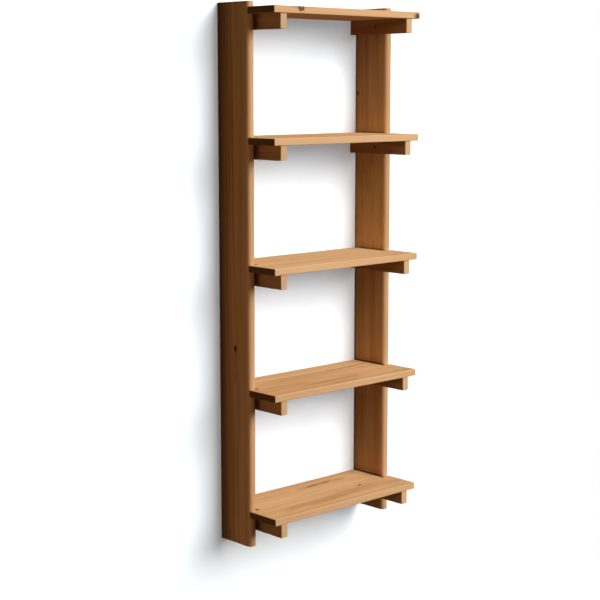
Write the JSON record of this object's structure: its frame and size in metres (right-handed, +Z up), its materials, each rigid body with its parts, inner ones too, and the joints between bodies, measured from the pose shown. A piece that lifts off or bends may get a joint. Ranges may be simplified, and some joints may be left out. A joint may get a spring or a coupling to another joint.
{
  "type": "wall shelving unit",
  "caption": "Tall narrow wall-hung shelving unit in oiled pine: notched shelves rest on bearers screwed to the inner faces of two rounded uprights, and pull out forwards.",
  "frame": {"origin": "on the wall plane, midway between the uprights, level with their lower ends", "axes": "+X to the right along the shelves seen from the front, +Y into the wall, +Z up along the uprights"},
  "size_m": [0.708, 0.293, 1.9],
  "materials": {
    "upright_wood": "oiled softwood, grain along the upright",
    "shelf_wood": "oiled softwood, grain along the shelf",
    "bearer_wood": "oiled softwood, grain along the bearer",
    "dowel_wood": "plain beech",
    "screw_steel": "blackened",
    "plate_steel": "zinc plated"
  },
  "bodies": {
    "frame": {"left_upright": "upright_wood", "right_upright": "upright_wood", "left_bearer_1": "bearer_wood", "left_bearer_2": "bearer_wood", "left_bearer_3": "bearer_wood", "left_bearer_4": "bearer_wood", "left_bearer_5": "bearer_wood", "right_bearer_1": "bearer_wood", "right_bearer_2": "bearer_wood", "right_bearer_3": "bearer_wood", "right_bearer_4": "bearer_wood", "right_bearer_5": "bearer_wood", "left_bearer_screw_1": "screw_steel", "left_bearer_screw_2": "screw_steel", "left_bearer_screw_3": "screw_steel", "left_bearer_screw_4": "screw_steel", "left_bearer_screw_5": "screw_steel", "right_bearer_screw_1": "screw_steel", "right_bearer_screw_2": "screw_steel", "right_bearer_screw_3": "screw_steel", "right_bearer_screw_4": "screw_steel", "right_bearer_screw_5": "screw_steel", "left_bearer_dowel_1": "dowel_wood", "left_bearer_dowel_2": "dowel_wood", "left_bearer_dowel_3": "dowel_wood", "left_bearer_dowel_4": "dowel_wood", "left_bearer_dowel_5": "dowel_wood", "right_bearer_dowel_1": "dowel_wood", "right_bearer_dowel_2": "dowel_wood", "right_bearer_dowel_3": "dowel_wood", "right_bearer_dowel_4": "dowel_wood", "right_bearer_dowel_5": "dowel_wood", "left_hanger_plate": "plate_steel", "right_hanger_plate": "plate_steel", "left_hanger_screw_upper": "plate_steel", "left_hanger_screw_lower": "plate_steel", "right_hanger_screw_upper": "plate_steel", "right_hanger_screw_lower": "plate_steel"},
    "lowest_shelf": {"shelf_1": "shelf_wood"},
    "second_shelf": {"shelf_2": "shelf_wood"},
    "third_shelf": {"shelf_3": "shelf_wood"},
    "fourth_shelf": {"shelf_4": "shelf_wood"},
    "top_shelf": {"shelf_5": "shelf_wood"}
  },
  "joints": [
    {"name": "lowest_shelf_pull", "type": "slide", "parent": "frame", "child": "lowest_shelf", "axis": [0, -1, 0], "range_m": [0, 0.3]},
    {"name": "second_shelf_pull", "type": "slide", "parent": "frame", "child": "second_shelf", "axis": [0, -1, 0], "range_m": [0, 0.3]},
    {"name": "third_shelf_pull", "type": "slide", "parent": "frame", "child": "third_shelf", "axis": [0, -1, 0], "range_m": [0, 0.3]},
    {"name": "fourth_shelf_pull", "type": "slide", "parent": "frame", "child": "fourth_shelf", "axis": [0, -1, 0], "range_m": [0, 0.3]},
    {"name": "top_shelf_pull", "type": "slide", "parent": "frame", "child": "top_shelf", "axis": [0, -1, 0], "range_m": [0, 0.3]}
  ]
}
